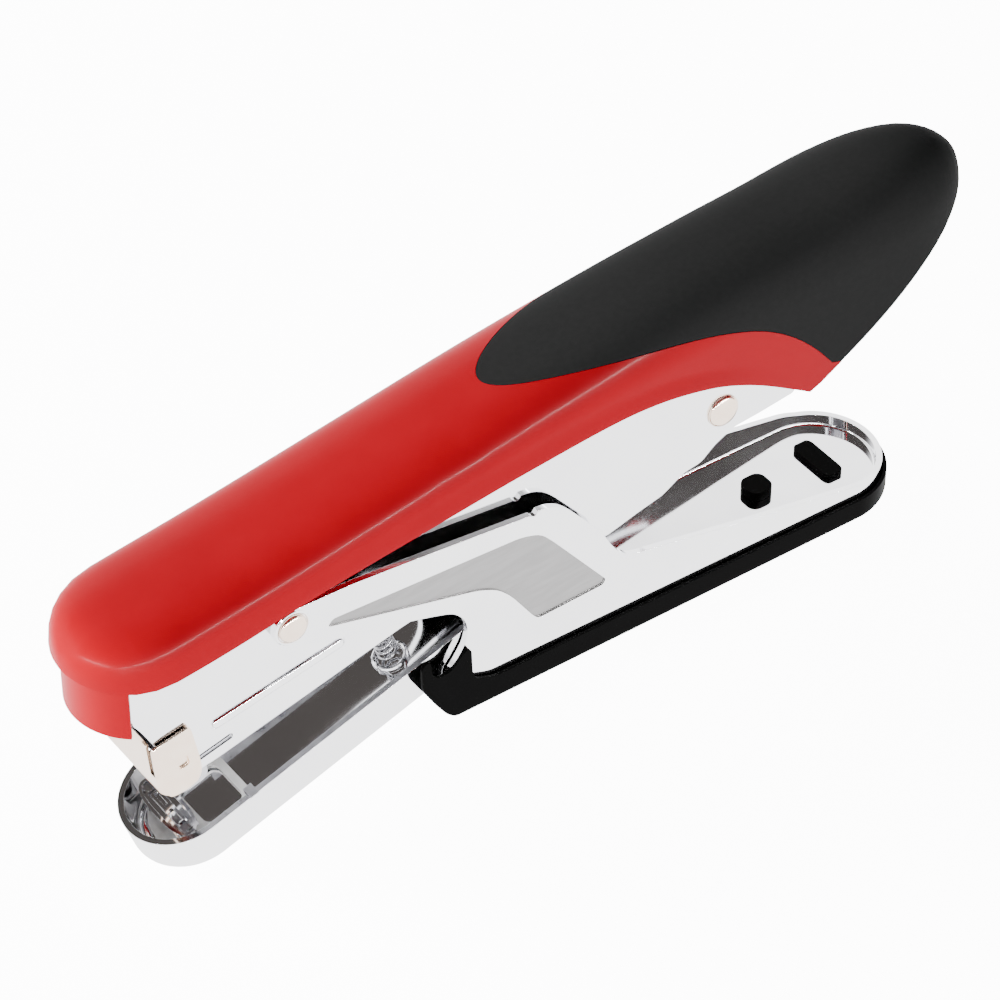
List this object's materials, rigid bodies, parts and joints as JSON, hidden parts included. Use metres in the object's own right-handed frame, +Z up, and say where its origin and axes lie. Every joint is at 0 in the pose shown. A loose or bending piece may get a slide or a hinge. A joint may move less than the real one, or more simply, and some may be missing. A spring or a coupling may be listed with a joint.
{
  "type": "plier stapler",
  "caption": "Hand-held plier stapler: chromed sheet levers hinged at the front, pivoting anvil arm and sprung staple magazine, red cover with soft black grip, black sole.",
  "frame": {"origin": "centre of the bounding box on the table the stapler stands on, resting on the anvil's tip and the sole's rear edge", "axes": "+X from the nose towards the grip's tail, +Y across the width, +Z up"},
  "size_m": [0.1778, 0.026, 0.0683],
  "materials": {
    "chrome_plate": "bright chrome plated sheet steel",
    "nickel_plate": "warm nickel plated steel, softly polished",
    "spring_steel": "bright spring wire",
    "plain_steel": "zinc plated sheet steel",
    "red_paint": "smooth satin-gloss red",
    "soft_black": "soft-touch matt black overmould",
    "black_plastic": "black moulded plastic, low sheen"
  },
  "bodies": {
    "lower_lever": {"lower_handle": "chrome_plate", "sole_tray": "black_plastic", "front_rivet": "nickel_plate", "pivot_washer_near": "plain_steel", "pivot_washer_far": "plain_steel"},
    "upper_lever": {"upper_frame": "chrome_plate", "top_cover": "red_paint", "soft_grip": "soft_black", "rear_rivet": "nickel_plate", "driver_blade": "plain_steel", "magazine_spring": "spring_steel"},
    "anvil": {"anvil_arm": "chrome_plate", "anvil_insert": "chrome_plate", "clincher_plate": "nickel_plate", "return_spring": "spring_steel"},
    "magazine": {"magazine_channel": "plain_steel", "staple_rail": "plain_steel", "staple_strip": "plain_steel", "guide_rod": "plain_steel", "rod_bracket": "plain_steel", "pusher_spring": "spring_steel", "pivot_bush": "plain_steel", "nose_plate": "nickel_plate"},
    "pusher": {"pusher": "plain_steel"}
  },
  "joints": [
    {"name": "handle_hinge", "type": "hinge", "parent": "lower_lever", "child": "upper_lever", "pos_m": [-0.05412, 0, 0.04474], "axis": [0, 1, 0], "range_deg": [0, 14.4], "stiffness_Nm_per_rad": 0.8, "springref_deg": -34.38},
    {"name": "anvil_hinge", "type": "hinge", "parent": "upper_lever", "child": "anvil", "pos_m": [0.03268, 0, 0.03875], "axis": [0, 1, 0], "range_deg": [0, 7.6], "stiffness_Nm_per_rad": 0.05, "springref_deg": -28.65, "deforming": ["return_spring"]},
    {"name": "magazine_hinge", "type": "hinge", "parent": "upper_lever", "child": "magazine", "pos_m": [0.03268, 0, 0.03875], "axis": [0, 1, 0], "range_deg": [0, 3.7], "stiffness_Nm_per_rad": 0.05, "springref_deg": -28.65, "deforming": ["magazine_spring"]},
    {"name": "pusher_slide", "type": "slide", "parent": "magazine", "child": "pusher", "axis": [0.9837, 0, 0.1797], "range_m": [0, 0.027], "stiffness_N_per_m": 60, "springref_m": -0.03, "deforming": ["pusher_spring"]}
  ],
  "couplings": [
    {"joint": "anvil_hinge", "follows": "handle_hinge", "ratio": 0.52},
    {"joint": "magazine_hinge", "follows": "handle_hinge", "ratio": 0.25}
  ]
}
